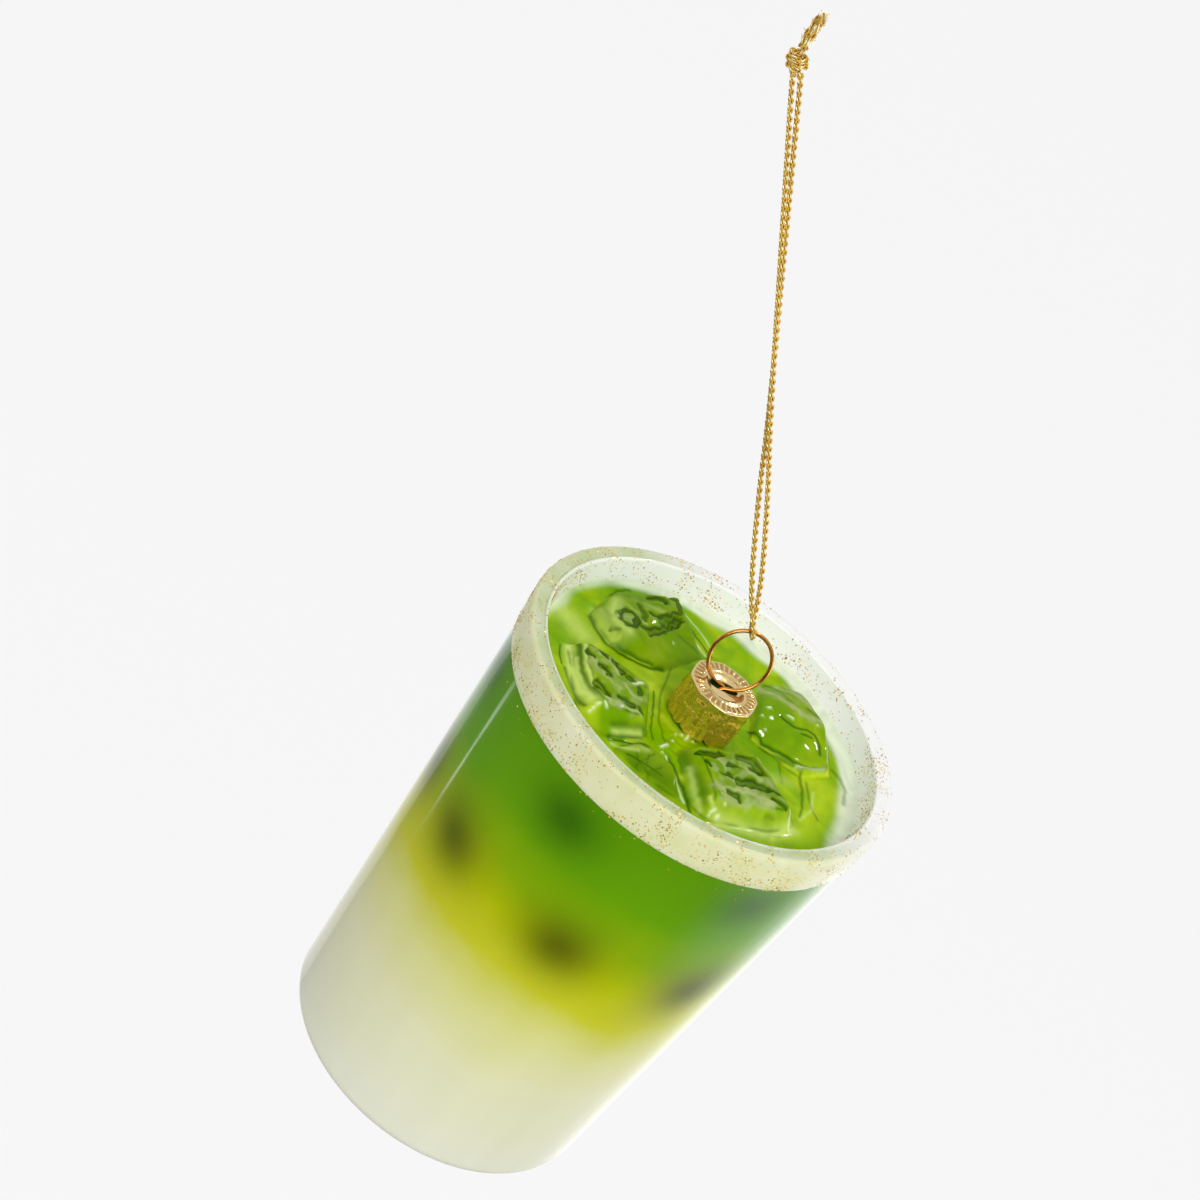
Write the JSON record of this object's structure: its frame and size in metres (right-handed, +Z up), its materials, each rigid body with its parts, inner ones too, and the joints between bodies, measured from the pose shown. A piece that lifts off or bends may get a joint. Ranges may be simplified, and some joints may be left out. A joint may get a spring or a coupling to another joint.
{
  "type": "matcha latte ornament",
  "caption": "Hanging blown glass tree ornament shaped as an iced green tea drink in a tapered glass, with a stamped cap, a sprung wire ring and a knotted loop of metallic cord.",
  "frame": {"origin": "centre of the glass's flat base", "axes": "+Z up the glass's axis, +X to the right and +Y away from the side seen first"},
  "size_m": [0.0791, 0.063, 0.1784],
  "materials": {
    "painted_glass": "green paint fading to cream behind clear gloss, frosted rim with gold glitter",
    "gold_tinplate": "bright stamped, gold lacquered",
    "copper_wire": "bright drawn",
    "gold_cord": "metallic braid"
  },
  "bodies": {
    "cord": {"cord_loop": "gold_cord", "cord_knot": "gold_cord", "cord_tail_long": "gold_cord", "cord_tail_short": "gold_cord"},
    "hanger": {"hanger_wire": "copper_wire"},
    "cap": {"stamped_cap": "gold_tinplate"},
    "glass": {"glass_body": "painted_glass"}
  },
  "joints": [
    {"name": "ring_slides_in_loop", "type": "hinge", "parent": "cord", "child": "hanger", "pos_m": [-0.0007, 0.00168, 0.09086], "axis": [0.3679, -0.8881, 0.2756], "range_deg": [-50, 50]},
    {"name": "ring_tilts_in_cap", "type": "hinge", "parent": "hanger", "child": "cap", "pos_m": [-0.00017, 0.00042, 0.08607], "axis": [0.9239, 0.3827, 0], "range_deg": [-36, 10]},
    {"name": "glass_turns_in_cap", "type": "hinge", "parent": "cap", "child": "glass", "pos_m": [0, 0, 0.0825], "axis": [0, 0, 1], "continuous": true}
  ]
}
